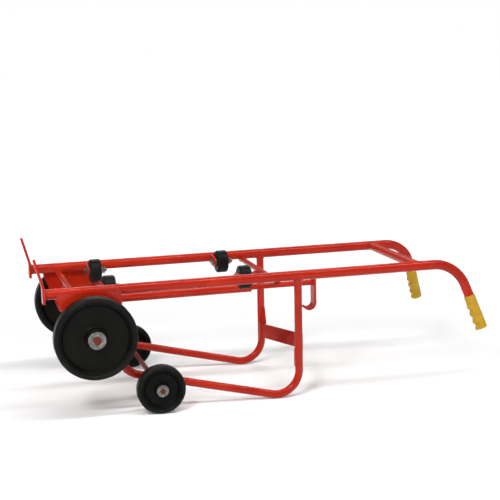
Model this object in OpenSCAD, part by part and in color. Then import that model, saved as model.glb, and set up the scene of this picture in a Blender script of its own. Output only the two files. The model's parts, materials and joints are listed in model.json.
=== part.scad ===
// Drum dolly: a two-rail cradle for a 200 litre steel drum, with bent handles,
// two main wheels at the toe, two small wheels and two side frames to stand on.
// Lengths are millimetres. Every piece is drawn in the cradle's own frame, where
// X runs along the rails from the toe to the handles, Y is across and Z is up,
// with its origin on the rail axes at the toe. stand() then leans the cradle
// back until the small wheels and the side frames meet the floor at Z = 0.

/* [Rails and handles] */
// Outside diameter of the two side rails
rail_d = 32; // [30:1:36]
// Wall thickness of every tube
tube_wall = 2.5; // [2:0.5:3]
// Distance between the rail axes
rail_gauge = 431; // [420:1:445]
// Straight length of a rail, from the toe to the handle bend
rail_straight = 1279; // [1220:1:1300]
// Radius of the handle bend at the tube axis
handle_bend_r = 110; // [90:1:150]
// Angle through which each handle bends down
handle_bend_angle = 72; // [60:1:78]
// Angle by which the plane of each bend is turned outward
handle_splay = 13; // [0:1:15]
// Straight length after the bend, grip included
handle_tail = 150; // [135:1:170]
// Diameter of the tube across the handles
handle_cross_d = 30; // [22:1:30]
// Distance from the toe to the tube across the handles
handle_cross_x = 1223; // [1180:1:1250]
// Length of a grip
grip_len = 117; // [110:1:130]
// Outside diameter of a grip's cuff
grip_cuff_d = 36; // [35:1:38]
// Outside diameter of a grip's barrel
grip_barrel_d = 37; // [36:0.5:40]

/* [Toe prongs] */
// Width of the flat bar used for the prongs and the hook
flat_w = 38; // [34:1:40]
// Thickness of the flat bar used for the prongs and the hook
flat_t = 8; // [6:1:10]
// How far a prong reaches below the rail axis
prong_foot = 27; // [20:1:32]
// Height above the rail axis at which a prong bends outward
prong_bend_z = 21; // [18:1:30]
// Length of a prong above its bend
prong_blade = 90; // [70:1:110]
// Outward lean of a prong above its bend
prong_lean = 15; // [5:1:20]

/* [Side frames] */
// Outside diameter of the side frame tube
frame_d = 25.4; // [22:0.1:28]
// Distance from the toe to the front leg
front_leg_x = 220; // [210:1:240]
// Distance from the toe to the rear leg
rear_leg_x = 804; // [780:1:830]
// Radius of both bends at the tube axis
frame_bend_r = 75; // [60:1:80]
// Slope of the lower bar, down towards the handles
frame_slope = 14; // [12:0.5:16]
// Depth of the rear bend's centre below the rail axes
frame_depth = 312; // [300:1:330]

/* [Foot strap] */
// Height of the foot strap
strap_h = 51; // [40:1:55]
// Thickness of the foot strap
strap_t = 5; // [4:1:6]
// Depth of the strap's top edge below the rail axes
strap_top = 252; // [240:1:262]
// How far the point of the strap stands out behind the legs
strap_reach = 81; // [60:1:90]

/* [Wheels] */
// Diameter of a main wheel
main_d = 254; // [240:1:260]
// Width of a main wheel's tyre
main_w = 50; // [44:1:54]
// Length of a main wheel's hub
main_hub_len = 62; // [56:1:64]
// Distance from the toe to the main axle
main_x = 139; // [135:1:142]
// Depth of the main axle below the rail axes
main_drop = 131; // [128:1:140]
// Diameter of the main axle
main_axle_d = 25.4; // [22:0.1:26]
// Diameter of a small wheel
small_d = 152.4; // [145:0.1:156]
// Width of a small wheel's tyre
small_w = 40; // [34:1:42]
// Length of a small wheel's hub
small_hub_len = 48; // [44:1:50]
// Distance from the toe to the small axle
small_x = 335; // [325:1:350]
// Diameter of the small axle
small_axle_d = 16; // [14:0.1:18]
// Distance from the middle of the dolly to a main wheel's middle plane
main_plane = 281.5; // [280:0.5:290]
// Distance from the middle of the dolly to a small wheel's middle plane
small_plane = 276; // [272:1:282]

/* [Cradle rollers] */
// Diameter of a roller
roller_d = 76; // [70:1:78]
// Width of a roller
roller_w = 38; // [34:1:40]
// Distance of each roller's axis from the middle of the dolly
roller_y = 148; // [140:1:150]
// Depth of the roller axes below the rail axes
roller_drop = 6; // [2:1:10]
// Distance from the toe to the front rollers
front_roller_x = 206; // [200:1:215]
// Distance from the toe to the rear rollers
rear_roller_x = 644; // [620:1:650]
// Diameter of the two bars across the rails
cross_bar_d = 19; // [16:1:22]
// Depth of the cross bars below the rail axes
cross_bar_drop = 16; // [14:1:20]
// Distance from the toe to the front cross bar
front_bar_x = 92; // [85:1:110]
// Distance from the toe to the rear cross bar
rear_bar_x = 736; // [730:1:750]
// Diameter of a roller bolt
bolt_d = 12; // [10:1:14]

/* [Chime hook] */
// Outside diameter of the hook sleeve
sleeve_d = 32; // [30:1:34]
// Depth of the sleeve and rod axis below the rail axes
sleeve_drop = 73; // [72:1:76]
// Distance from the toe to the front end of the sleeve
sleeve_start = 60; // [50:1:100]
// Distance from the toe to the mouth of the sleeve
sleeve_end = 707; // [690:1:720]
// Diameter of the hook rod
rod_d = 19; // [16:0.5:20]
// Distance from the toe to the face of the hook that the rod meets
hook_x = 925.5; // [915:0.5:935]
// Inside radius of the hook's curl
hook_curl_r = 16; // [14:1:20]
// Depth of the curl's centre below the rod axis
hook_drop = 69; // [60:1:72]
// How far past the bottom the curl turns
hook_turn = 42; // [30:1:50]
// Straight length at the hook's tip
hook_tip = 2; // [1:1:14]

/* [Hidden] */
$fn = 96;
gap = 0.05;                       // running clearance on a radius
seat = 0.7;                       // depth to which a welded piece is let in
hairline = 0.02;                  // joint between the straight and bent lengths of one tube
past = 1;                         // how far a cut runs past what it cuts
bar_stop = 4;                     // how far a cross bar's ends stop short of the rail axes
leg_stop = 6;                     // how far a leg's tube stops below the rail axis
grip_past = 4;                    // thickness of a grip's closed end
half_gauge = rail_gauge / 2;
rail_r = rail_d / 2;
frame_r = frame_d / 2;
sides = [-1, 1];                  // left and right of a user at the handles
ends = [front_roller_x, rear_roller_x];

// Side frame: the lower bar is tangent to both bends.
rear_bend = [rear_leg_x - frame_bend_r, -frame_depth];
front_bend = [front_leg_x + frame_bend_r,
              -frame_depth + (rear_bend.x - front_leg_x - frame_bend_r) * tan(frame_slope)];
function bar_z(x) = rear_bend.y - frame_bend_r / cos(frame_slope)
                    + (rear_bend.x - x) * tan(frame_slope);

// The small axle is welded under the lower bars.
small_r = small_d / 2;
axle_let_in = 1;                  // depth to which the small axle is cut to the lower bars
small_z = bar_z(small_x) - (frame_r + small_axle_d / 2 - axle_let_in) / cos(frame_slope);

// The floor touches the small wheels and the rear bends of the side frames.
foot_r = frame_bend_r + frame_r;
floor_run = rear_bend.x - small_x;
floor_rise = rear_bend.y - small_z;
lean = asin((foot_r - small_r) / norm([floor_run, floor_rise])) - atan(floor_rise / floor_run);

// Ends of the dolly, used to put its origin under the middle of its length.
prong_top = [-flat_t - prong_blade * sin(prong_lean), prong_bend_z + prong_blade * cos(prong_lean)];
grip_dir = [cos(handle_bend_angle), -sin(handle_bend_angle)];
bend_end = [rail_straight + handle_bend_r * sin(handle_bend_angle),
            -handle_bend_r * (1 - cos(handle_bend_angle))];
grip_end = bend_end + (handle_tail + grip_past) * grip_dir;
grip_corner = grip_end + grip_barrel_d / 2 * [-grip_dir.y, grip_dir.x];
function lean_x(x, z) = x * cos(lean) - z * sin(lean);
mid_x = (lean_x(prong_top.x, prong_top.y)
         + lean_x(grip_corner.x, grip_corner.y * cos(handle_splay))) / 2;
floor_z = small_x * sin(lean) + small_z * cos(lean) - small_r;

bracket_t = 6;                    // axle bracket plate
bracket_y = half_gauge + rail_r - seat;
hub_gap = 1.5;                    // space between a hub and the washer beside it
washer_t = 3;
main_washer_d = 54;
small_washer_d = 37;
ring_t = 2;                       // split rings that hold the washers
main_ring_d = 40;
small_ring_d = 27;
main_spacer_d = 38;
small_spacer_d = 26;
roller_plate_t = 6;
roller_gap = 3;                   // space between a roller and its bracket
roller_bush_d = 22;
bolt_head_t = 8;
nut_d = 21;                       // across the corners, as on the bolt heads
nut_t = 10;
nut_washer_t = 2.5;
roller_play = 1.3;                // space between a roller and the washers beside it
hanger_t = 6;                     // plate between a cross bar and the sleeve
sleeve_top = -sleeve_drop + sleeve_d / 2;
sleeve_bore = 26;
mouth_len = 30;                   // bush in the mouth of the sleeve
glide_len = 40;
glide_back = 60;                  // from the mouth bush back to the glide, with the rod at rest
rod_tail = 12;                    // length of rod behind the glide
glide_end = sleeve_end - mouth_len - glide_back;
rod_start = glide_end - glide_len - rod_tail;
clip_t = 1.5;
clip_gap = 0.3;                   // space between a clip and the glide
clip_rise = 2;                    // how far a clip stands out of the rod

red = "#b92b20";
yellow = "#cfae35";
black = "#1e1e1c";
zinc = "#a9a99c";
nylon = "#d9d6c8";

// Points of an arc about a centre, in the plane of an outline.
function arc(centre, r, from, to, steps = 8) =
    [for (i = [0:steps]) centre + r * [cos(from + (to - from) * i / steps),
                                       sin(from + (to - from) * i / steps)]];

// Sets the leaning cradle down on the floor, with the origin under its middle.
module stand() translate([-mid_x, 0, -floor_z]) rotate([0, -lean, 0]) children();

// Lays a cylinder or ring along X or along Y, from its starting face.
module along_x(x, y, z) translate([x, y, z]) rotate([0, 90, 0]) children();
module along_y(x, y, z) translate([x, y, z]) rotate([-90, 0, 0]) children();

module ring(outer_d, inner_d, h) difference() {
    cylinder(d = outer_d, h = h);
    translate([0, 0, -past]) cylinder(d = inner_d, h = h + 2 * past);
}

// Rails ---------------------------------------------------------------------

// A rail: a straight tube, a bend and a straight tail that the grip slides onto.
module side_rail(side) {
    bore = rail_d - 2 * tube_wall;
    color(red) stand() translate([0, side * half_gauge, 0]) {
        along_x(0, 0, 0) ring(rail_d, bore, rail_straight - hairline);
        rotate([side * handle_splay, 0, 0]) {
            translate([rail_straight, 0, -handle_bend_r]) rotate([90, 0, 0])
                rotate([0, 0, 90 - handle_bend_angle]) rotate_extrude(angle = handle_bend_angle)
                    translate([handle_bend_r, 0]) difference() {
                        circle(d = rail_d);
                        circle(d = bore);
                    }
            along_tail(0) translate([0, 0, hairline]) ring(rail_d, bore, handle_tail - hairline);
        }
    }
}

// Lays a piece along a handle's straight tail, from a distance past the bend.
module along_tail(start) translate([bend_end.x, 0, bend_end.y])
    rotate([0, 90 + handle_bend_angle, 0]) translate([0, 0, start]) children();

// The space taken by both rails' straight stretches, cut from what is welded to them.
module rail_space() for (side = sides)
    along_x(-2, side * half_gauge, 0) cylinder(d = rail_d, h = rail_straight + 2);

module handle_cross_tube() color(red) stand() difference() {
    along_y(handle_cross_x, -half_gauge + bar_stop, 0)
        ring(handle_cross_d, handle_cross_d - 2 * tube_wall, rail_gauge - 2 * bar_stop);
    rail_space();
}

// A grip: a cuff, a barrel with four finger swells on its inner side, and a closed end.
module grip(side) {
    cuff = 26;
    swell_r = 9;
    swell_rise = 2.5;
    first_swell = cuff + 10;
    swell_pitch = 22;
    swell_x = grip_barrel_d / 2 - swell_r + swell_rise;
    color(yellow) stand() translate([0, side * half_gauge, 0])
        rotate([side * handle_splay, 0, 0]) along_tail(handle_tail + grip_past - grip_len)
            difference() {
                union() {
                    cylinder(d = grip_cuff_d, h = cuff);
                    translate([0, 0, cuff]) cylinder(d = grip_barrel_d, h = grip_len - cuff);
                    for (i = [0:3]) translate([swell_x, 0, first_swell + i * swell_pitch])
                        sphere(r = swell_r, $fn = 32);
                }
                translate([0, 0, -past]) cylinder(d = rail_d, h = grip_len - grip_past + past);
            }
}

// Toe prongs: an upright foot welded to the rail's end, then a pointed blade leaning outward.
// Each is its side profile, cut to its front outline.
module toe_prong(side) {
    lean_out = [-sin(prong_lean), cos(prong_lean)];
    bend_out = [-flat_t, prong_bend_z];
    bend_in = [0, prong_bend_z + flat_t * tan(prong_lean / 2)];
    tip_out = bend_out + prong_blade * lean_out;
    tip_in = tip_out + flat_t * [cos(prong_lean), sin(prong_lean)];
    profile = [[-flat_t, -prong_foot], [0, -prong_foot], bend_in, tip_in, tip_out, bend_out];
    half_w = flat_w / 2;
    neck = 13;                    // half the blade's width
    neck_z = prong_bend_z + 16;   // where the bar has narrowed to the blade
    top = tip_in.y;
    point_z = top - 28;           // where the blade starts to narrow to its point
    nose = 2;                     // half the width of the point
    front = [[-half_w, -prong_foot], [half_w, -prong_foot], [half_w, prong_bend_z],
             [neck, neck_z], [neck, point_z], [nose, top], [-nose, top],
             [-neck, point_z], [-neck, neck_z], [-half_w, prong_bend_z]];
    deep = 60;                    // room in front of the rail's end for the blade's lean
    color(red) stand() translate([0, side * half_gauge, 0]) intersection() {
        translate([0, half_w, 0]) rotate([90, 0, 0]) linear_extrude(height = flat_w)
            polygon(profile);
        translate([-deep, 0, 0]) rotate([90, 0, 90]) linear_extrude(height = 1.5 * deep)
            polygon(front);
    }
}

// Axle brackets: plates on the outside of the rails that carry the main axle.
module axle_bracket(side) {
    front = 31;
    rear = 231;
    top = 2;
    rear_foot = -46;
    foot = -main_drop - 27;
    outline = [[front, top], [rear, top], [rear, rear_foot], [main_x + 47, foot],
               [main_x - 49, foot]];
    clear = 400;
    color(red) stand() difference() {
        translate([0, side > 0 ? bracket_y + bracket_t : -bracket_y, 0]) rotate([90, 0, 0])
            linear_extrude(height = bracket_t) polygon(outline);
        along_y(main_x, -clear, -main_drop) cylinder(d = main_axle_d, h = 2 * clear);
        rail_space();
    }
}

// Side frames ---------------------------------------------------------------

// A bend of the side frame tube, turned about its centre from one angle through another.
module frame_bend(centre, from, through, bore) translate([centre.x, 0, centre.y])
    rotate([90, 0, 0]) rotate([0, 0, from]) rotate_extrude(angle = through)
        translate([frame_bend_r, 0]) difference() {
            circle(d = frame_d);
            circle(d = bore);
        }

// A side frame: front leg, bend, sloping lower bar, bend and rear leg in one tube.
module side_frame(side) {
    bore = frame_d - 2 * tube_wall;
    start = front_bend - frame_bend_r * [sin(frame_slope), cos(frame_slope)];
    run = (rear_bend.x - front_bend.x) / cos(frame_slope);
    color(red) stand() difference() {
        translate([0, side * half_gauge, 0]) {
            for (leg = [[front_leg_x, front_bend.y], [rear_leg_x, rear_bend.y]])
                translate([leg.x, 0, leg.y + hairline]) ring(frame_d, bore, -leg.y - leg_stop);
            frame_bend(front_bend, 180, 90 - frame_slope, bore);
            frame_bend(rear_bend, -90 - frame_slope, 90 + frame_slope, bore);
            translate([start.x, 0, start.y]) rotate([0, 90 + frame_slope, 0])
                translate([0, 0, hairline]) ring(frame_d, bore, run - 2 * hairline);
        }
        rail_space();
    }
}

// Foot strap: a flat bar bent to a point behind the legs, with a tab along each leg.
strap_y = half_gauge - frame_r + seat;
strap_tip = rear_leg_x + strap_reach;
module foot_strap() {
    knee_x = rear_leg_x - 4;
    edge_y = strap_y - strap_t;
    tab_x = rear_leg_x - 11;
    slope = atan((strap_tip - knee_x) / edge_y);
    thick = strap_t / cos(slope);
    point_x = strap_tip + strap_t;
    outside = [[tab_x, strap_y], [knee_x, strap_y], [point_x, 0], [knee_x, -strap_y],
               [tab_x, -strap_y]];
    inner_knee = knee_x - strap_t * tan(slope / 2);
    inside = [[tab_x, -edge_y], [inner_knee, -edge_y], [point_x - thick, 0], [inner_knee, edge_y],
              [tab_x, edge_y]];
    color(red) stand() difference() {
        translate([0, 0, -strap_top - strap_h]) linear_extrude(height = strap_h)
            polygon(concat(outside, inside));
        for (side = sides) translate([rear_leg_x, side * half_gauge, -strap_top - strap_h - past])
            cylinder(d = frame_d, h = strap_h + 2 * past);
    }
}

// Small three-cornered plates between each leg and the strap's top edge.
module foot_strap_gussets() {
    r = 2;                        // half the plate's thickness
    height = 56;
    near_leg = strap_y - 3;
    inward = strap_y - 20;
    back = rear_leg_x + 8;
    foot = -strap_top + r;
    corners = [[back, near_leg, -strap_top + height], [rear_leg_x - 10, near_leg, foot],
               [back, inward, foot]];
    cut = 20;                     // depth of the cut that leaves the plates on the strap's edge
    color(red) stand() difference() {
        for (side = sides) hull() for (p = corners)
            translate([p.x, side * p.y, p.z]) sphere(r = r, $fn = 16);
        for (side = sides) translate([rear_leg_x, side * half_gauge, -strap_top - cut / 2])
            cylinder(d = frame_d, h = cut + height + 14);
        translate([rear_leg_x - 3 * cut, -half_gauge, -strap_top - cut])
            cube([10 * cut, rail_gauge, cut]);
    }
}

// Cradle rollers -------------------------------------------------------------

module roller_axis(x, side) along_x(x, side * roller_y, -roller_drop) children();

plate_offset = roller_w / 2 + roller_gap + roller_plate_t;

// A bracket plate on the toe side of a roller, welded to the rail's inner side.
module roller_bracket(x, side) {
    boss_r = 18;
    outline = [[roller_y, -roller_drop - boss_r], [half_gauge, -14], [half_gauge, 12],
               [roller_y, -roller_drop + boss_r]];
    color(red) stand() difference() {
        union() {
            translate([x - plate_offset, 0, 0]) rotate([90, 0, 90])
                linear_extrude(height = roller_plate_t)
                    mirror([side < 0 ? 1 : 0, 0]) polygon(outline);
            roller_axis(x - plate_offset, side) cylinder(r = boss_r, h = roller_plate_t);
        }
        roller_axis(x - 100, side) cylinder(d = bolt_d, h = 200);
        rail_space();
    }
}

// Bars across the rails, just below the drum, which also carry the hook sleeve.
module cross_bar_solid(x) along_y(x, -half_gauge + bar_stop, -cross_bar_drop)
    cylinder(d = cross_bar_d, h = rail_gauge - 2 * bar_stop);

module cross_bar(x) color(red) stand() difference() {
    cross_bar_solid(x);
    rail_space();
}

// A plate in the middle plane, from a cross bar down to the top of the sleeve.
module sleeve_hanger(x, from, to) {
    half = cross_bar_d / 2;
    foot = sleeve_top - seat;
    outline = [[x - half, -cross_bar_drop], [x + half, -cross_bar_drop],
               [to, foot], [from, foot]];
    color(red) stand() difference() {
        translate([0, hanger_t / 2, 0]) rotate([90, 0, 0])
            linear_extrude(height = hanger_t) polygon(outline);
        cross_bar_solid(x);
        rod_axis(sleeve_start - past)
            cylinder(d = sleeve_d, h = sleeve_end - sleeve_start + 2 * past);
    }
}

// A roller: a rubber tread with bevelled ends on a bush.
module roller(x, side) {
    bevel = 6;
    r = roller_d / 2;
    core = roller_bush_d / 2;
    profile = [[core, 0], [r - bevel, 0], [r - 1, bevel - 1], [r, bevel + 2],
               [r, roller_w - bevel - 2], [r - 1, roller_w - bevel + 1], [r - bevel, roller_w],
               [core, roller_w]];
    color(black) stand() roller_axis(x - roller_w / 2, side)
        rotate_extrude() polygon(profile);
}

module roller_bush(x, side) color(nylon) stand()
    roller_axis(x - roller_w / 2 - 1, side) ring(roller_bush_d, bolt_d + 2 * gap, roller_w + 2);

// Bolt heads sit against the bracket plates; nuts and washers hold the rollers on.
module at_rollers() for (x = ends, side = sides) roller_axis(x, side) children();
bolt_len = plate_offset + roller_w / 2 + 20;

module roller_bolts() color(zinc) stand() at_rollers() {
    translate([0, 0, -plate_offset]) cylinder(d = bolt_d, h = bolt_len);
    translate([0, 0, -plate_offset - bolt_head_t]) cylinder(d = nut_d, h = bolt_head_t, $fn = 6);
}

module roller_washers() color(zinc) stand() at_rollers() {
    translate([0, 0, -roller_w / 2 - roller_gap]) ring(24, bolt_d, roller_gap - roller_play);
    translate([0, 0, roller_w / 2 + roller_play]) ring(26, bolt_d, nut_washer_t);
}

module roller_nuts() color(zinc) stand() at_rollers()
    translate([0, 0, roller_w / 2 + roller_play + nut_washer_t]) difference() {
        cylinder(d = nut_d, h = nut_t, $fn = 6);
        translate([0, 0, -past]) cylinder(d = bolt_d, h = nut_t + 2 * past);
    }

// Axles ----------------------------------------------------------------------

module both_axle_ends() for (side = sides) mirror([0, side < 0 ? 1 : 0, 0]) children();
main_hub_out = main_plane + main_hub_len / 2;
main_hub_in = main_plane - main_hub_len / 2;
small_hub_out = small_plane + small_hub_len / 2;
small_hub_in = small_plane - small_hub_len / 2;
main_axle_past = 5;               // length of axle beyond the split ring
small_axle_past = 4;
main_axle_half = main_hub_out + hub_gap + washer_t + ring_t + main_axle_past;
small_axle_half = small_hub_out + hub_gap + washer_t + ring_t + small_axle_past;

module main_axle() color(red) stand() along_y(main_x, -main_axle_half, -main_drop)
    cylinder(d = main_axle_d, h = 2 * main_axle_half);

module small_axle() color(red) stand() difference() {
    along_y(small_x, -small_axle_half, small_z) cylinder(d = small_axle_d, h = 2 * small_axle_half);
    for (side = sides) translate([small_x, side * half_gauge, bar_z(small_x)])
        rotate([0, 90 + frame_slope, 0]) cylinder(d = frame_d, h = 60, center = true);
}

module on_axle(x, z, from) both_axle_ends() along_y(x, from, z) children();

module main_axle_spacers() color(zinc) stand() on_axle(main_x, -main_drop, bracket_y + bracket_t)
    ring(main_spacer_d, main_axle_d, main_hub_in - hub_gap - bracket_y - bracket_t);

module small_axle_spacers() {
    from = half_gauge + frame_r + 2;
    color(zinc) stand() on_axle(small_x, small_z, from)
        ring(small_spacer_d, small_axle_d, small_hub_in - hub_gap - from);
}

// Outer washers, each held on by a split ring in a groove of the axle.
module main_axle_washers() color(zinc) stand() on_axle(main_x, -main_drop, main_hub_out + hub_gap)
    ring(main_washer_d, main_axle_d, washer_t);

module small_axle_washers() color(zinc) stand() on_axle(small_x, small_z, small_hub_out + hub_gap)
    ring(small_washer_d, small_axle_d, washer_t);

module split_ring(outer_d, inner_d) difference() {
    ring(outer_d, inner_d, ring_t);
    translate([0, inner_d / 2 + 6, ring_t / 2]) cube([4, 14, ring_t + 2], center = true);
}

module main_axle_rings() color(zinc) stand()
    on_axle(main_x, -main_drop, main_hub_out + hub_gap + washer_t)
        split_ring(main_ring_d, main_axle_d);

module small_axle_rings() color(zinc) stand()
    on_axle(small_x, small_z, small_hub_out + hub_gap + washer_t)
        split_ring(small_ring_d, small_axle_d);

// Wheels ---------------------------------------------------------------------

lip_depth = 3;                    // step from a tyre's face down to the rim
lip_in = 1.5;                     // where that step starts, beyond the rim
lip_out = 3.5;                    // and where it ends
rim_step = 4;                     // width of a rim's face
dish = 12;                        // from the rim's edge in to the flat of the web
hub_flare = 3;                    // how far a hub widens on its way to the web
hub_bevel = 2;

// A tyre's outline: a flat tread with round shoulders, and a lip on each face.
function tyre_outline(r, w, bore_r, shoulder) = concat(
    [[bore_r, -w / 2 + lip_depth], [bore_r + lip_in, -w / 2 + lip_depth],
     [bore_r + lip_out, -w / 2]],
    arc([r - shoulder, -w / 2 + shoulder], shoulder, -90, 0),
    arc([r - shoulder, w / 2 - shoulder], shoulder, 0, 90),
    [[bore_r + lip_out, w / 2], [bore_r + lip_in, w / 2 - lip_depth],
     [bore_r, w / 2 - lip_depth]]);

// One side of a wheel centre's outline, from the bore out to the rim, towards a face.
function wheel_side(rim_r, rim_w, hub_r, hub_len, bore_r, web) = [
    [bore_r, hub_len / 2], [hub_r - hub_bevel, hub_len / 2], [hub_r, hub_len / 2 - hub_bevel],
    [hub_r + hub_flare, web / 2], [rim_r - dish, web / 2], [rim_r - rim_step, rim_w / 2],
    [rim_r, rim_w / 2]];

// A wheel centre: rim, dished web and hub, the same on both sides.
function wheel_outline(rim_r, rim_w, hub_r, hub_len, bore_r, web) =
    let (half = wheel_side(rim_r, rim_w, hub_r, hub_len, bore_r, web))
    concat([for (p = half) [p.x, -p.y]], [for (i = [1:len(half)]) half[len(half) - i]]);

main_bush_d = 34;
small_bush_d = 23;
main_rim_r = 111;
small_rim_r = 62;
main_hub_r = 33;
small_hub_r = 21;
main_web = 14;
small_web = 12;
rim_inset = 6;                    // how much narrower a wheel centre is than its tyre

module wheel_at(x, z, y) color(black) stand() along_y(x, y, z) children();

module main_tyre(side) wheel_at(main_x, -main_drop, side * main_plane)
    rotate_extrude() polygon(tyre_outline(main_d / 2, main_w, main_rim_r, 9));
module main_wheel(side) wheel_at(main_x, -main_drop, side * main_plane)
    rotate_extrude() polygon(wheel_outline(main_rim_r, main_w - rim_inset, main_hub_r,
                                           main_hub_len, main_bush_d / 2, main_web));
module main_bush(side) color(zinc) stand()
    along_y(main_x, side * main_plane - main_hub_len / 2, -main_drop)
        ring(main_bush_d, main_axle_d + 2 * gap, main_hub_len);

module small_tyre(side) wheel_at(small_x, small_z, side * small_plane)
    rotate_extrude() polygon(tyre_outline(small_r, small_w, small_rim_r, 8));
module small_wheel(side) wheel_at(small_x, small_z, side * small_plane)
    rotate_extrude() polygon(wheel_outline(small_rim_r, small_w - rim_inset, small_hub_r,
                                           small_hub_len, small_bush_d / 2, small_web));
module small_bush(side) color(zinc) stand()
    along_y(small_x, side * small_plane - small_hub_len / 2, small_z)
        ring(small_bush_d, small_axle_d + 2 * gap, small_hub_len);

// Chime hook -----------------------------------------------------------------

module rod_axis(x) along_x(x, 0, -sleeve_drop) children();

module hook_sleeve() color(red) stand() rod_axis(sleeve_start)
    ring(sleeve_d, sleeve_bore, sleeve_end - sleeve_start);

module sleeve_mouth_bush() color(nylon) stand() rod_axis(sleeve_end - mouth_len)
    ring(sleeve_bore, rod_d + 2 * gap, mouth_len);

// The glide slides in the sleeve; the rod turns in the glide between two clips.
module rod_glide() color(nylon) stand() rod_axis(glide_end - glide_len)
    ring(sleeve_bore - 2 * gap, rod_d + 2 * gap, glide_len);

module rod_clips() color(zinc) stand()
    for (x = [glide_end - glide_len - clip_t - clip_gap, glide_end + clip_gap])
        rod_axis(x) ring(rod_d + 2 * clip_rise, rod_d, clip_t);

module hook_rod() color(red) stand() rod_axis(rod_start) cylinder(d = rod_d, h = hook_x - rod_start);

// The hook: a flat bar down from the rod, curled back towards the toe.
module chime_hook() {
    head = 19;                    // how far the bar reaches above the rod's axis
    inner = hook_curl_r;
    outer = hook_curl_r + flat_t;
    centre = [hook_x - inner, -hook_drop];
    last = -90 - hook_turn;
    along = [sin(last), -cos(last)];
    tip = centre + inner * [cos(last), sin(last)] + hook_tip * along;
    tip_out = centre + outer * [cos(last), sin(last)] + hook_tip * along;
    outline = concat([[hook_x, head], [hook_x + flat_t, head]],
        arc(centre, outer, 0, last, 16), [tip_out, tip],
        arc(centre, inner, last, 0, 16));
    color(red) stand() translate([0, flat_w / 2, -sleeve_drop]) rotate([90, 0, 0])
        linear_extrude(height = flat_w) polygon(outline);
}

side_rail(-1);  // side_rail_left
side_rail(1);  // side_rail_right
toe_prong(-1);  // toe_prong_left
toe_prong(1);  // toe_prong_right
axle_bracket(-1);  // axle_bracket_left
axle_bracket(1);  // axle_bracket_right
side_frame(-1);  // side_frame_left
side_frame(1);  // side_frame_right
handle_cross_tube();
grip(-1);  // grip_left
grip(1);  // grip_right
foot_strap();
foot_strap_gussets();
cross_bar(front_bar_x);  // cross_bar_front
cross_bar(rear_bar_x);  // cross_bar_rear
sleeve_hanger(front_bar_x, front_bar_x - 28, front_bar_x + 32);  // sleeve_hanger_front
sleeve_hanger(rear_bar_x, sleeve_end - 70, sleeve_end - 4);  // sleeve_hanger_rear
roller_bracket(front_roller_x, -1);  // roller_bracket_front_left
roller_bracket(front_roller_x, 1);  // roller_bracket_front_right
roller_bracket(rear_roller_x, -1);  // roller_bracket_rear_left
roller_bracket(rear_roller_x, 1);  // roller_bracket_rear_right
roller_bolts();
roller_nuts();
roller_washers();
main_axle();
main_axle_spacers();
main_axle_washers();
main_axle_rings();
small_axle();
small_axle_spacers();
small_axle_washers();
small_axle_rings();
hook_sleeve();
sleeve_mouth_bush();
main_tyre(-1);  // main_tyre_left
main_wheel(-1);  // main_wheel_left
main_bush(-1);  // main_bush_left
main_tyre(1);  // main_tyre_right
main_wheel(1);  // main_wheel_right
main_bush(1);  // main_bush_right
small_tyre(-1);  // small_tyre_left
small_wheel(-1);  // small_wheel_left
small_bush(-1);  // small_bush_left
small_tyre(1);  // small_tyre_right
small_wheel(1);  // small_wheel_right
small_bush(1);  // small_bush_right
roller(front_roller_x, -1);  // roller_front_left
roller_bush(front_roller_x, -1);  // roller_bush_front_left
roller(front_roller_x, 1);  // roller_front_right
roller_bush(front_roller_x, 1);  // roller_bush_front_right
roller(rear_roller_x, -1);  // roller_rear_left
roller_bush(rear_roller_x, -1);  // roller_bush_rear_left
roller(rear_roller_x, 1);  // roller_rear_right
roller_bush(rear_roller_x, 1);  // roller_bush_rear_right
rod_glide();
hook_rod();
chime_hook();
rod_clips();
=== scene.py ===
"""Looks for the drum dolly: paint, rubber, zinc and vinyl, detailed wheels, ribbed grips and
weld beads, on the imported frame. Cradle coordinates are millimetres: x along the rails from the
toe, y across and z up from the rail axes. at() turns them into the frame's metres."""
import json
import math
import random

import bmesh
import bpy
from mathutils import Matrix, Vector

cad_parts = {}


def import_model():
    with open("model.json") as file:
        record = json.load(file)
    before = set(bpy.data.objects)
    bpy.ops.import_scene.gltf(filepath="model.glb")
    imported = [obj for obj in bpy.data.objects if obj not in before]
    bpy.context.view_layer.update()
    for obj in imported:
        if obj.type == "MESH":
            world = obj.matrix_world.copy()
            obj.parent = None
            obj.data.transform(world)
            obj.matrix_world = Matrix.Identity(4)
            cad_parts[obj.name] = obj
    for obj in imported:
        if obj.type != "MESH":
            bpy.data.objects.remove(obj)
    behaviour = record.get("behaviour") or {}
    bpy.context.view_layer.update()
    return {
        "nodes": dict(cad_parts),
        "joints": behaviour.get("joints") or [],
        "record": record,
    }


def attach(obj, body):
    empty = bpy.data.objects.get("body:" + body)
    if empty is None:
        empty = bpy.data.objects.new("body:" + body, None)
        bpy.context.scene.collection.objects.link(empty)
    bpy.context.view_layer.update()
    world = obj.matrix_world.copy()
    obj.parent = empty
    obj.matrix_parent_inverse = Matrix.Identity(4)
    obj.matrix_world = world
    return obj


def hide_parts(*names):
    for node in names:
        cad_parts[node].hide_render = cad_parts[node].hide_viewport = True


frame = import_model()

nodes = frame["nodes"]
joints = {joint["name"]: joint for joint in frame["joints"]}
SIDES = {"left": -1, "right": 1}
MM = 0.001

# The cradle's own directions and origin, from the joints that the frame gives.
MAIN_AXLE = (139, -131)
ALONG = Vector(joints["hook_slide"]["axis"]).normalized()
ACROSS = Vector((0, 1, 0))
UP = ALONG.cross(ACROSS)
main_hub = Vector(joints["main_wheel_left_spin"]["pos_m"])
ORIGIN = Vector((main_hub.x, 0, main_hub.z)) - MM * (MAIN_AXLE[0] * ALONG + MAIN_AXLE[1] * UP)
small_hub = Vector(joints["small_wheel_left_spin"]["pos_m"]) - ORIGIN
SMALL_AXLE = (small_hub.dot(ALONG) / MM, small_hub.dot(UP) / MM)

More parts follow.
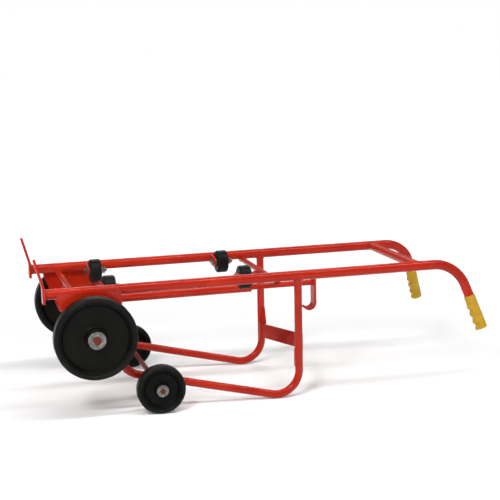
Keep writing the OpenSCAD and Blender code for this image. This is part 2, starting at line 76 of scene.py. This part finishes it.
# Driving sizes of the cradle, in millimetres.
HALF_GAUGE = 215.5
RAIL_R = 16
RAIL_STRAIGHT = 1279
BEND_R, BEND_ANGLE, TAIL = 110, math.radians(72), 150
SPLAY = math.radians(13)
GRIP_LEN, GRIP_CUFF, GRIP_PAST = 117, 26, 4
LEG_R, LEG_X = 12.7, (220, 804)
BAR_R, BAR_X, BAR_Z = 9.5, (92, 736), -16
HANDLE_BAR_R, HANDLE_BAR_X = 15, 1223
SLEEVE_Z, SLEEVE_R, ROD_R, HOOK_X = -73, 16, 9.5, 925.5
HANGERS = {"front": (64, 124), "rear": (637, 703)}
HANGER_HALF = 3.8
BRACKET_X = (31, 231)
ROLLER_X = (206, 644)
ROLLER_PLATE = (-28, -22)
STRAP_X, STRAP_Z, STRAP_FACE = 800, (-303, -252), 203.6


def at(x, y, z):
    """A point of the cradle, in the frame."""
    return ORIGIN + MM * (x * ALONG + y * ACROSS + z * UP)


# Materials ------------------------------------------------------------------

def new_material(name):
    mat = bpy.data.materials.new(name)
    mat.use_nodes = True
    tree = mat.node_tree
    return mat, tree, tree.nodes["Principled BSDF"]


def add(tree, kind, **values):
    """A shader node whose inputs are set by name."""
    made = tree.nodes.new(kind)
    for key, value in values.items():
        if key in made.inputs:
            made.inputs[key].default_value = value
        else:
            setattr(made, key, value)
    return made


def place_of(tree, stretch=(1, 1, 1)):
    """Object coordinates in metres, stretched."""
    coords = add(tree, "ShaderNodeTexCoord")
    mapping = add(tree, "ShaderNodeMapping", Scale=stretch)
    tree.links.new(coords.outputs["Object"], mapping.inputs["Vector"])
    return mapping.outputs["Vector"]


def noise(tree, where, scale, detail=4.0, roughness=0.55):
    made = add(tree, "ShaderNodeTexNoise", Scale=scale, Detail=detail, Roughness=roughness)
    tree.links.new(where, made.inputs["Vector"])
    return made.outputs["Fac"]


def ramp(tree, value, stops):
    """A colour ramp: stops are (position, colour)."""
    made = add(tree, "ShaderNodeValToRGB")
    band = made.color_ramp
    while len(band.elements) < len(stops):
        band.elements.new(0.5)
    for element, (position, colour) in zip(band.elements, stops):
        element.position = position
        element.color = (*colour, 1)
    tree.links.new(value, made.inputs["Fac"])
    return made.outputs["Color"]


def spread(tree, value, low, high, from_low=0.3, from_high=0.7):
    made = add(tree, "ShaderNodeMapRange")
    for key, number in (("From Min", from_low), ("From Max", from_high),
                        ("To Min", low), ("To Max", high)):
        made.inputs[key].default_value = number
    tree.links.new(value, made.inputs["Value"])
    return made.outputs["Result"]


def mix(tree, factor, a, b, blend="MIX"):
    made = add(tree, "ShaderNodeMix", data_type="RGBA", blend_type=blend)
    tree.links.new(factor, made.inputs[0])
    for socket, value in ((made.inputs[6], a), (made.inputs[7], b)):
        if isinstance(value, tuple):
            socket.default_value = (*value, 1)
        else:
            tree.links.new(value, socket)
    return made.outputs[2]


def bump(tree, bsdf, *layers):
    """Stacks height layers, each (value, strength, distance in metres)."""
    below = None
    for value, strength, distance in layers:
        made = add(tree, "ShaderNodeBump", Strength=strength, Distance=distance)
        tree.links.new(value, made.inputs["Height"])
        if below is not None:
            tree.links.new(below, made.inputs["Normal"])
        below = made.outputs["Normal"]
    tree.links.new(below, bsdf.inputs["Normal"])


def edge_mask(tree, low=0.51, high=0.56):
    """Near 1 on sharp outer edges."""
    geometry = add(tree, "ShaderNodeNewGeometry")
    return spread(tree, geometry.outputs["Pointiness"], 0, 1, low, high)


def paint(name, light, dark, dust, roughness=(0.2, 0.3)):
    """Gloss powder coat: slow colour drift, faint orange peel, thin scuffs and dust."""
    mat, tree, bsdf = new_material(name)
    where = place_of(tree)
    drift = noise(tree, where, 7)
    colour = ramp(tree, drift, [(0.35, dark), (0.65, light)])
    scuffs = noise(tree, place_of(tree, (3, 1, 1)), 75, 7, 0.7)
    colour = mix(tree, spread(tree, scuffs, 0, 0.1, 0.66, 0.78), colour, dust)
    specks = noise(tree, where, 700, 2)
    colour = mix(tree, spread(tree, specks, 0, 0.2, 0.64, 0.76), colour, dark)
    tree.links.new(colour, bsdf.inputs["Base Color"])
    smears = noise(tree, where, 35, 5)
    tree.links.new(spread(tree, smears, *roughness), bsdf.inputs["Roughness"])
    bsdf.inputs["Coat Weight"].default_value = 0.25
    bsdf.inputs["Coat Roughness"].default_value = 0.05
    bsdf.inputs["Specular IOR Level"].default_value = 0.1
    bump(tree, bsdf, (noise(tree, where, 260, 2), 0.05, 0.0003),
         (noise(tree, where, 40, 2), 0.03, 0.0006))
    return mat


def rubber(name, base, worn, roughness):
    """Moulded rubber or plastic: faint bloom, scuffs and a fine grain."""
    mat, tree, bsdf = new_material(name)
    where = place_of(tree)
    bloom = noise(tree, where, 22, 5)
    colour = ramp(tree, bloom, [(0.35, base), (0.75, worn)])
    colour = mix(tree, edge_mask(tree), colour, worn)
    tree.links.new(colour, bsdf.inputs["Base Color"])
    tree.links.new(spread(tree, noise(tree, where, 60, 4), *roughness), bsdf.inputs["Roughness"])
    bsdf.inputs["Specular IOR Level"].default_value = 0.1
    bump(tree, bsdf, (noise(tree, where, 1100, 2), 0.12, 0.0002),
         (noise(tree, where, 180, 3), 0.08, 0.0004))
    return mat


def zinc(name):
    """Zinc plate with a faint yellow passivate, water marks and fine turning lines."""
    mat, tree, bsdf = new_material(name)
    where = place_of(tree)
    marks = noise(tree, where, 130, 5)
    colour = ramp(tree, marks, [(0.3, (0.11, 0.11, 0.105)), (0.5, (0.19, 0.19, 0.18)),
                                (0.72, (0.36, 0.345, 0.29))])
    tree.links.new(colour, bsdf.inputs["Base Color"])
    bsdf.inputs["Metallic"].default_value = 1
    tree.links.new(spread(tree, noise(tree, where, 420, 3), 0.24, 0.5), bsdf.inputs["Roughness"])
    bump(tree, bsdf, (noise(tree, where, 900, 3), 0.2, 0.0002))
    return mat


def vinyl(name):
    """Dipped yellow vinyl: soft sheen, handled shine and painted shade in the hollows."""
    mat, tree, bsdf = new_material(name)
    where = place_of(tree)
    colour = ramp(tree, noise(tree, where, 30, 4), [(0.3, (0.42, 0.245, 0.01)),
                                                    (0.7, (0.53, 0.32, 0.02))])
    geometry = add(tree, "ShaderNodeNewGeometry")
    # Painted shade: the colour darkens to a deep brown where the surface is concave, in the
    # hollows between the grip's ridges.
    painted_hollow_shade = spread(tree, geometry.outputs["Pointiness"], 0.6, 0, 0.43, 0.49)
    colour = mix(tree, painted_hollow_shade, colour, (0.24, 0.13, 0.01))
    tree.links.new(colour, bsdf.inputs["Base Color"])
    tree.links.new(spread(tree, noise(tree, where, 90, 4), 0.36, 0.56), bsdf.inputs["Roughness"])
    bsdf.inputs["Subsurface Weight"].default_value = 0.05
    bsdf.inputs["Specular IOR Level"].default_value = 0.25
    bump(tree, bsdf, (noise(tree, where, 1100, 2), 0.22, 0.0002),
         (noise(tree, where, 150, 3), 0.12, 0.0005))
    return mat


def plain_metal(name, low, high, metallic, roughness):
    """Sintered bronze, bare steel and the like: mottled, with a fine grain."""
    mat, tree, bsdf = new_material(name)
    where = place_of(tree)
    tree.links.new(ramp(tree, noise(tree, where, 160, 5), [(0.3, low), (0.7, high)]),
                   bsdf.inputs["Base Color"])
    bsdf.inputs["Metallic"].default_value = metallic
    tree.links.new(spread(tree, noise(tree, where, 300, 3), *roughness), bsdf.inputs["Roughness"])
    bump(tree, bsdf, (noise(tree, where, 800, 2), 0.25, 0.0002))
    return mat


RED = paint("red_paint", (0.45, 0.02, 0.005), (0.35, 0.012, 0.004), (0.52, 0.06, 0.03))
AXLE_RED = paint("axle_paint", (0.16, 0.022, 0.01), (0.1, 0.017, 0.009), (0.22, 0.1, 0.06),
                 roughness=(0.4, 0.6))
TYRE = rubber("tyre_rubber", (0.0045, 0.0045, 0.004), (0.012, 0.012, 0.011), (0.34, 0.5))
WHEEL = rubber("wheel_plastic", (0.0025, 0.0025, 0.002), (0.005, 0.005, 0.0042), (0.36, 0.55))
ROLLER = rubber("roller_rubber", (0.0045, 0.0045, 0.0045), (0.012, 0.012, 0.011), (0.34, 0.55))
ZINC = zinc("zinc_plate")
GRIP = vinyl("grip_vinyl")
NYLON = plain_metal("nylon_bush", (0.5, 0.47, 0.38), (0.64, 0.61, 0.52), 0, (0.4, 0.55))
BRONZE = plain_metal("bronze_bush", (0.3, 0.17, 0.06), (0.45, 0.28, 0.12), 1, (0.35, 0.6))

SLOT_LOOKS = {"frame_paint": RED, "hook_paint": RED, "axle_paint": AXLE_RED, "tyre_rubber": TYRE,
              "wheel_plastic": WHEEL, "roller_rubber": ROLLER, "zinc_steel": ZINC,
              "grip_vinyl": GRIP, "nylon": NYLON, "bush_bronze": BRONZE}
slot_of = {part["node"]: part["material_slot"] for part in frame["record"]["subparts"]}
for name, obj in nodes.items():
    obj.data.materials.clear()
    obj.data.materials.append(SLOT_LOOKS[slot_of[name]])


# Mesh helpers ---------------------------------------------------------------

def make_piece(name, verts, faces, material, body, sharp=40):
    """A mesh piece, smooth apart from edges sharper than the angle, riding on a body."""
    mesh = bpy.data.meshes.new(name)
    mesh.from_pydata([tuple(v) for v in verts], [], faces)
    work = bmesh.new()
    work.from_mesh(mesh)
    bmesh.ops.remove_doubles(work, verts=work.verts, dist=1e-6)
    bmesh.ops.recalc_face_normals(work, faces=work.faces)
    work.to_mesh(mesh)
    work.free()
    mesh.shade_smooth()
    mesh.set_sharp_from_angle(angle=math.radians(sharp))
    obj = bpy.data.objects.new(name, mesh)
    bpy.context.scene.collection.objects.link(obj)
    mesh.materials.append(material)
    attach(obj, body)
    return obj


def skin(rings, closed=False):
    """Vertices and faces over rings of equal length, capped unless the rings close up."""
    count = len(rings[0])
    verts = [v for ring in rings for v in ring]
    faces = []
    for i in range(len(rings) if closed else len(rings) - 1):
        a, b = i * count, (i + 1) % len(rings) * count
        faces += [(a + j, a + (j + 1) % count, b + (j + 1) % count, b + j) for j in range(count)]
    if not closed:
        faces.append(tuple(range(count)))
        faces.append(tuple(range(len(verts) - count, len(verts))))
    return verts, faces


def lathe(profile, centre, axis, start, turns=160):
    """Turns a closed outline of (radius, distance along the axis) in millimetres."""
    side = axis.cross(start)
    rings = []
    for i in range(turns):
        angle = 2 * math.pi * i / turns
        out = math.cos(angle) * start + math.sin(angle) * side
        rings.append([centre + MM * (r * out + d * axis) for r, d in profile])
    return skin(rings, closed=True)


def rounded(outline, radius, steps=5):
    """Rounds the corners of a closed outline of (r, d), where there is room."""
    points = []
    count = len(outline)
    for i in range(count):
        before, here, after = (Vector(outline[(i + k) % count]) for k in (-1, 0, 1))
        back, on = before - here, after - here
        cut = min(radius, 0.45 * back.length, 0.45 * on.length)
        first, last = here + cut * back.normalized(), here + cut * on.normalized()
        for k in range(steps + 1):
            t = k / steps
            point = (1 - t) ** 2 * first + 2 * t * (1 - t) * here + t * t * last
            points.append((point.x, point.y))
    return points


def bead(name, path, radius, body="frame", closed=False, seed=0):
    """A rippled weld bead along points of the frame, in metres; radius in millimetres."""
    rng = random.Random(seed)
    step, ripple, around = 0.9, 3.4, 10
    end_size, growth = 0.45, 0.22
    least, swell, scatter = 0.86, 0.2, 0.06
    tilt = Vector((0.3, 0.5, 0.8))
    legs = list(zip(path, path[1:] + path[:1])) if closed else list(zip(path, path[1:]))
    points = []
    for a, b in legs:
        count = max(1, round((b - a).length / MM / step))
        points += [a.lerp(b, k / count) for k in range(count)]
    if not closed:
        points.append(path[-1])
    total = len(points)
    rings = []
    for i, point in enumerate(points):
        ahead = points[(i + 1) % total] if closed or i < total - 1 else point
        behind = points[i - 1] if closed or i > 0 else point
        run = (ahead - behind).normalized()
        side = run.cross(tilt).normalized()
        lift = run.cross(side)
        wave = abs(math.sin(math.pi * i * step / ripple))
        end = 1 if closed else min(1, end_size + growth * min(i, total - 1 - i))
        size = radius * end * (least + swell * wave + scatter * rng.uniform(-1, 1))
        rings.append([point + MM * size * (math.cos(2 * math.pi * j / around) * side
                                           + math.sin(2 * math.pi * j / around) * lift)
                      for j in range(around)])
    verts, faces = skin(rings, closed)
    return make_piece(name, verts, faces, RED, body, sharp=80)


# Weld beads -----------------------------------------------------------------

# Radius of each kind of bead, in millimetres.
BEAD = {"prong": 2.2, "bracket": 3.0, "bracket_inner": 2.2, "leg": 2.4, "bar": 1.9,
        "handle_bar": 2.0, "roller": 1.9, "strap": 1.9, "small_axle": 2.2, "main_axle": 2.3,
        "hook": 2.3, "hanger": 1.9}
LEAST_REACH = 4


def circle_points(centre, a, b, count=28, start=0.0, stop=2 * math.pi):
    """Points round an arc in the cradle: centre plus a cos t plus b sin t."""
    whole = stop - start > 6.28
    return [at(*(Vector(centre) + math.cos(t) * Vector(a) + math.sin(t) * Vector(b)))
            for t in (start + (stop - start) * i / (count if whole else count - 1)
                      for i in range(count))]


def saddle(x, z, r, side, count=32):
    """Where a bar across the dolly, of radius r, meets the inside of a rail."""
    points = []
    for i in range(count):
        t = 2 * math.pi * i / count
        height = z + r * math.sin(t)
        reach = math.sqrt(max(RAIL_R ** 2 - height ** 2, LEAST_REACH ** 2))
        points.append(at(x + r * math.cos(t), side * (HALF_GAUGE - reach), height))
    return points


def leg_saddle(x, side, count=32):
    """Where an upright leg meets the underside of a rail."""
    points = []
    for i in range(count):
        t = 2 * math.pi * i / count
        off = LEG_R * math.sin(t)
        points.append(at(x + LEG_R * math.cos(t), side * HALF_GAUGE + off,
                         -math.sqrt(RAIL_R ** 2 - off ** 2)))
    return points


def prong_weld(label, y):
    r = RAIL_R - 0.4
    bead(f"weld_prong_{label}", circle_points((1.2, y, 0), (0, r, 0), (0, 0, r)), BEAD["prong"],
         closed=True, seed=1)


def bracket_welds(label, side):
    """Short welds at both ends of a bracket's top edge, outside and inside."""
    start, end = BRACKET_X
    length = 48
    for i, (a, b) in enumerate(((start + 2, start + length), (end - length, end - 2))):
        line = [at(a, side * 232.4, 3.6), at(b, side * 232.4, 3.6)]
        bead(f"weld_bracket_{label}_{i}", line, BEAD["bracket"], seed=2 + i)
        inner = [at(a, side * 230, -6.5), at(b, side * 230, -6.5)]
        bead(f"weld_bracket_inner_{label}_{i}", inner, BEAD["bracket_inner"], seed=12 + i)


def tube_welds(label, side):
    """Welds round the legs, the cross bars and the tube across the handles."""
    for i, x in enumerate(LEG_X):
        bead(f"weld_leg_{label}_{i}", leg_saddle(x, side), BEAD["leg"], closed=True, seed=4 + i)
    for i, x in enumerate(BAR_X):
        bead(f"weld_bar_{label}_{i}", saddle(x, BAR_Z, BAR_R, side), BEAD["bar"], closed=True,
             seed=6 + i)
    bead(f"weld_handle_bar_{label}", saddle(HANDLE_BAR_X, 0, HANDLE_BAR_R, side),
         BEAD["handle_bar"], closed=True, seed=8)


def roller_welds(label, side):
    """Welds round the rail on both faces of each roller's bracket plate."""
    low, high = math.radians(-52), math.radians(44)
    for i, x in enumerate(ROLLER_X):
        for j, edge in enumerate(ROLLER_PLATE):
            arc = circle_points((x + edge, side * HALF_GAUGE, 0), (0, -side * RAIL_R, 0),
                                (0, 0, RAIL_R), 14, low, high)
            bead(f"weld_roller_{label}_{i}_{j}", arc, BEAD["roller"], seed=20 + 2 * i + j)


def strap_welds(label, side):
    low, high = STRAP_Z
    for i, x in enumerate((STRAP_X - 3, STRAP_X + 2)):
        line = [at(x, side * STRAP_FACE, low + 3), at(x, side * STRAP_FACE, high - 3)]
        bead(f"weld_strap_{label}_{i}", line, BEAD["strap"], seed=30 + i)


def axle_welds(label, side):
    """Welds on both sides of the small axle, and round the main axle inside its bracket."""
    axle_x, axle_z = SMALL_AXLE
    y, z = side * HALF_GAUGE, axle_z + 5.6
    for i, dx in enumerate((-7.2, 7.2)):
        line = [at(axle_x + dx, y - 9, z), at(axle_x + dx, y + 9, z)]
        bead(f"weld_small_axle_{label}_{i}", line, BEAD["small_axle"], seed=34 + i)
    r = 13.2
    ring = circle_points((MAIN_AXLE[0], side * 230.2, MAIN_AXLE[1]), (r, 0, 0), (0, 0, r))
    bead(f"weld_main_axle_{label}", ring, BEAD["main_axle"], closed=True, seed=36)


def hook_weld():
    """The weld between the rod and the hook, which moves with the hook."""
    ring = circle_points((HOOK_X - 0.6, 0, SLEEVE_Z), (0, ROD_R, 0), (0, 0, ROD_R))
    bead("weld_hook", ring, BEAD["hook"], body="hook", closed=True, seed=40)


def hanger_welds():
    z = SLEEVE_Z + SLEEVE_R - 0.4
    for place, (start, stop) in HANGERS.items():
        for label, side in SIDES.items():
            y = side * HANGER_HALF
            bead(f"weld_hanger_{place}_{label}", [at(start + 4, y, z), at(stop - 4, y, z)],
                 BEAD["hanger"], seed=42)


for label, side in SIDES.items():
    prong_weld(label, side * HALF_GAUGE)
    bracket_welds(label, side)
    tube_welds(label, side)
    roller_welds(label, side)
    strap_welds(label, side)
    axle_welds(label, side)
hook_weld()
hanger_welds()


# Wheels and rollers ---------------------------------------------------------

# Points of a tyre's lip: how far out from the rim and how far down from the face.
LIP = ((0.2, 3.4), (1.6, 3), (3.6, 0))
CORNER = 1.6

def wheel(kind, label, tyre, hub, turns):
    """A tyre and a wheel centre, turned from outlines of (radius, distance outwards)."""
    body = f"{kind}_wheel_{label}"
    centre = Vector(joints[body + "_spin"]["pos_m"])
    axis = SIDES[label] * ACROSS
    for part, outline, look, slot in (("tyre", tyre, TYRE, "tyre_rubber"),
                                      ("wheel", hub, WHEEL, "wheel_plastic")):
        verts, faces = lathe(rounded(outline, CORNER), centre, axis, UP, turns)
        piece = make_piece(f"{kind}_{part}_{label}_shown", verts, faces, look, body, 50)
        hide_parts(f"{kind}_{part}_{label}")


def shoulder(r, w, radius, steps=6):
    """Round shoulders of a tread, from the inner face to the outer face."""
    arcs = []
    for middle, first in ((-w / 2 + radius, -90), (w / 2 - radius, 0)):
        for i in range(steps + 1):
            t = math.radians(first + 90 * i / steps)
            arcs.append((r - radius + radius * math.cos(t), middle + radius * math.sin(t)))
    return arcs


def hub_outline(rim, rim_half, web_half, hub, hub_half, bore):
    """One wheel centre: a boss, a dished web and a rim, on both faces."""
    bevel, flare, dish, step = 2, 5, 13, 4
    half = [(bore, hub_half), (hub - bevel, hub_half), (hub, hub_half - bevel),
            (hub + bevel, web_half + bevel), (hub + flare, web_half), (rim - dish, web_half),
            (rim - dish + 2.5, web_half + bevel), (rim - step, rim_half), (rim, rim_half)]
    return [(r, -d) for r, d in half] + half[::-1]


def tyre_outline(rim, r, half, round_r):
    """One tyre: a small lip beside the rim on both faces, and round shoulders."""
    lip = [(rim + out, half - down) for out, down in LIP]
    return [(a, -d) for a, d in lip] + shoulder(r, 2 * half, round_r) + lip[::-1]


def main_wheel(label):
    rim = 111
    tyre = tyre_outline(rim, r=127, half=25, round_r=8)
    hub = hub_outline(rim, rim_half=22, web_half=7, hub=33, hub_half=31, bore=17)
    wheel("main", label, tyre, hub, turns=192)


def small_wheel(label):
    rim = 62
    tyre = tyre_outline(rim, r=76.2, half=20, round_r=9)
    hub = hub_outline(rim, rim_half=17, web_half=6, hub=21, hub_half=24, bore=11.5)
    wheel("small", label, tyre, hub, turns=144)


def roller(body):
    """A cradle roller: a rubber tread with round shoulders, on its bush."""
    r, half, bore, core, face = 38, 19, 11, 14, 31
    centre = Vector(joints[body + "_spin"]["pos_m"])
    outline = [(bore, -half + 1), (core, -half), (face, -half)]
    outline += shoulder(r, 2 * half, 6.5) + [(face, half), (core, half), (bore, half - 1)]
    verts, faces = lathe(rounded(outline, 0.8, 3), centre, ALONG, UP, 96)
    piece = make_piece(body + "_shown", verts, faces, ROLLER, body, 50)
    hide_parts(body)


for label in SIDES:
    main_wheel(label)
    small_wheel(label)
for place in ("front", "rear"):
    for label in SIDES:
        roller(f"roller_{place}_{label}")


# Grips ----------------------------------------------------------------------

# Distances along a grip from its mouth: a plain band, rings up to the end of the cuff, then
# four ridges between the fingers, and a rounded end.
CUFF_BAND, CUFF_PITCH = 4, 4.4
FIRST_RIDGE, RIDGE_PITCH = 35, 26.4
NOSE = 4
MOUTH_EASE = 1.2

# Radii of a grip's band, cuff, rings and barrel, and how far the ridges and hollows go.
BAND_R, CUFF_R, RING, BARREL_R = 19.0, 18.5, 0.5, 18.6
RIDGE, HOLLOW = 5.4, 2.1


def grip_radius(s, turn):
    """Radius of a grip at s millimetres from its mouth, at an angle from its finger side."""
    if s < CUFF_BAND:
        r = BAND_R
    elif s < GRIP_CUFF:
        r = CUFF_R + RING * math.cos(2 * math.pi * (s - CUFF_BAND) / CUFF_PITCH)
    else:
        facing = max(0.0, math.cos(turn)) ** 1.3
        wave = 0.5 + 0.5 * math.cos(2 * math.pi * (s - FIRST_RIDGE) / RIDGE_PITCH)
        r = BARREL_R + facing * (RIDGE * wave ** 0.8 - HOLLOW)
    nose = GRIP_LEN - s
    if nose < NOSE:
        r -= NOSE - math.sqrt(max(0.0, NOSE ** 2 - (NOSE - nose) ** 2))
    if s < MOUTH_EASE:
        r -= 0.8 * (MOUTH_EASE - s)
    return r


def grip(label, side):
    """A grip round the end of a handle, whose bend is turned outward about the rail's axis."""
    down = math.sin(SPLAY) * side * ACROSS - math.cos(SPLAY) * UP
    sideways = ALONG.cross(down)
    run = math.cos(BEND_ANGLE) * ALONG + math.sin(BEND_ANGLE) * down
    inward = math.cos(BEND_ANGLE) * down - math.sin(BEND_ANGLE) * ALONG
    bend_end = (at(RAIL_STRAIGHT + BEND_R * math.sin(BEND_ANGLE), side * HALF_GAUGE, 0)
                + MM * BEND_R * (1 - math.cos(BEND_ANGLE)) * down)
    mouth = bend_end + MM * (TAIL + GRIP_PAST - GRIP_LEN) * run
    around = 72
    whole = GRIP_LEN - NOSE
    # First up the inside to the mouth, then down the outside and round the end.
    stations = [(s, RAIL_R + 0.05) for s in (20.0, 0.2)] + [(0.0, RAIL_R + 0.6)]
    outside = [0.0, 0.4, 0.8] + [0.5 * i for i in range(3, 2 * whole)] + [
        whole + NOSE * math.sin(math.pi / 2 * i / 10) for i in range(11)]
    stations += [(s, None) for s in outside]
    rings = []
    for s, bore in stations:
        ring = []
        for j in range(around):
            turn = 2 * math.pi * j / around
            out = math.cos(turn) * inward + math.sin(turn) * sideways
            ring.append(mouth + MM * (s * run + (bore or grip_radius(s, turn)) * out))
        rings.append(ring)
    verts, faces = skin(rings)
    piece = make_piece(f"grip_{label}_shown", verts, faces, GRIP, "frame", 60)
    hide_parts(f"grip_{label}")


for label, side in SIDES.items():
    grip(label, side)


# Studio ---------------------------------------------------------------------

def floor():
    """A pale floor that glows more and more with distance, so that it meets the surround."""
    size = 45
    near_glow, far_glow = (1.0, 0.1), (5.0, 0.85)
    mesh = bpy.data.meshes.new("floor")
    mesh.from_pydata([(-size, -size, 0), (size, -size, 0), (size, size, 0), (-size, size, 0)],
                     [], [(0, 1, 2, 3)])
    obj = bpy.data.objects.new("floor", mesh)
    bpy.context.scene.collection.objects.link(obj)
    mat, tree, bsdf = new_material("floor_pale")
    where = place_of(tree)
    cloud = noise(tree, where, 3)
    colour = ramp(tree, cloud, [(0.3, (0.86, 0.86, 0.86)), (0.7, (0.89, 0.89, 0.89))])
    tree.links.new(colour, bsdf.inputs["Base Color"])
    bsdf.inputs["Roughness"].default_value = 0.9
    bsdf.inputs["Emission Color"].default_value = (1, 1, 1, 1)
    distance = add(tree, "ShaderNodeVectorMath", operation="LENGTH")
    tree.links.new(where, distance.inputs[0])
    glow = spread(tree, distance.outputs["Value"], near_glow[1], far_glow[1],
                  near_glow[0], far_glow[0])
    tree.links.new(glow, bsdf.inputs["Emission Strength"])
    mesh.materials.append(mat)


def area_light(name, place, target, size, power):
    data = bpy.data.lights.new(name, "AREA")
    data.shape = "RECTANGLE"
    data.size, data.size_y = size
    data.energy = power
    obj = bpy.data.objects.new(name, data)
    obj.location = place
    obj.rotation_euler = (Vector(target) - Vector(place)).to_track_quat("-Z", "Y").to_euler()
    bpy.context.scene.collection.objects.link(obj)


def world():
    """A white surround, seen brighter than it lights."""
    lights, seen = 0.22, 1.0
    made = bpy.data.worlds.new("studio")
    made.use_nodes = True
    tree = made.node_tree
    path = add(tree, "ShaderNodeLightPath")
    strength = spread(tree, path.outputs["Is Camera Ray"], lights, seen, 0, 1)
    background = tree.nodes["Background"]
    background.inputs["Color"].default_value = (1, 1, 1, 1)
    tree.links.new(strength, background.inputs["Strength"])
    bpy.context.scene.world = made
    bpy.context.scene.view_settings.view_transform = "Standard"


def camera():
    """The lens, place and turn of a camera fitted to the rails, given in the cradle's axes."""
    yaw, pitch, roll = (math.radians(v) for v in (15.68, -10.04, -1.23))
    place = at(-327.8, -3688.0, 731.7)
    ahead = Vector((math.sin(yaw) * math.cos(pitch), math.cos(yaw) * math.cos(pitch),
                    math.sin(pitch)))
    right = Vector((math.cos(yaw), -math.sin(yaw), 0))
    above = right.cross(ahead)
    right, above = (right * math.cos(roll) + above * math.sin(roll),
                    above * math.cos(roll) - right * math.sin(roll))
    turn = Matrix((ALONG, ACROSS, UP)).transposed()
    axes = Matrix((turn @ right, turn @ above, turn @ -ahead)).transposed()
    data = bpy.data.cameras.new("camera")
    data.lens = 83.64
    data.sensor_width = 36
    data.clip_end = 200
    obj = bpy.data.objects.new("camera", data)
    obj.matrix_world = Matrix.Translation(place) @ axes.to_4x4()
    bpy.context.scene.collection.objects.link(obj)
    bpy.context.scene.camera = obj


floor()
world()
area_light("key", (-2.2, -2.8, 3.0), (0, 0, 0.25), (0.9, 0.9), 96)
area_light("strip", (0.2, -1.1, 3.4), (0, 0, 0.3), (5.0, 0.12), 96)
area_light("fill", (3.2, -2.2, 1.7), (0.1, 0, 0.2), (1.6, 1.6), 7)
area_light("rim", (0.6, 3.2, 2.6), (0, 0, 0.3), (2.6, 0.6), 34)
camera()
bpy.context.view_layer.update()
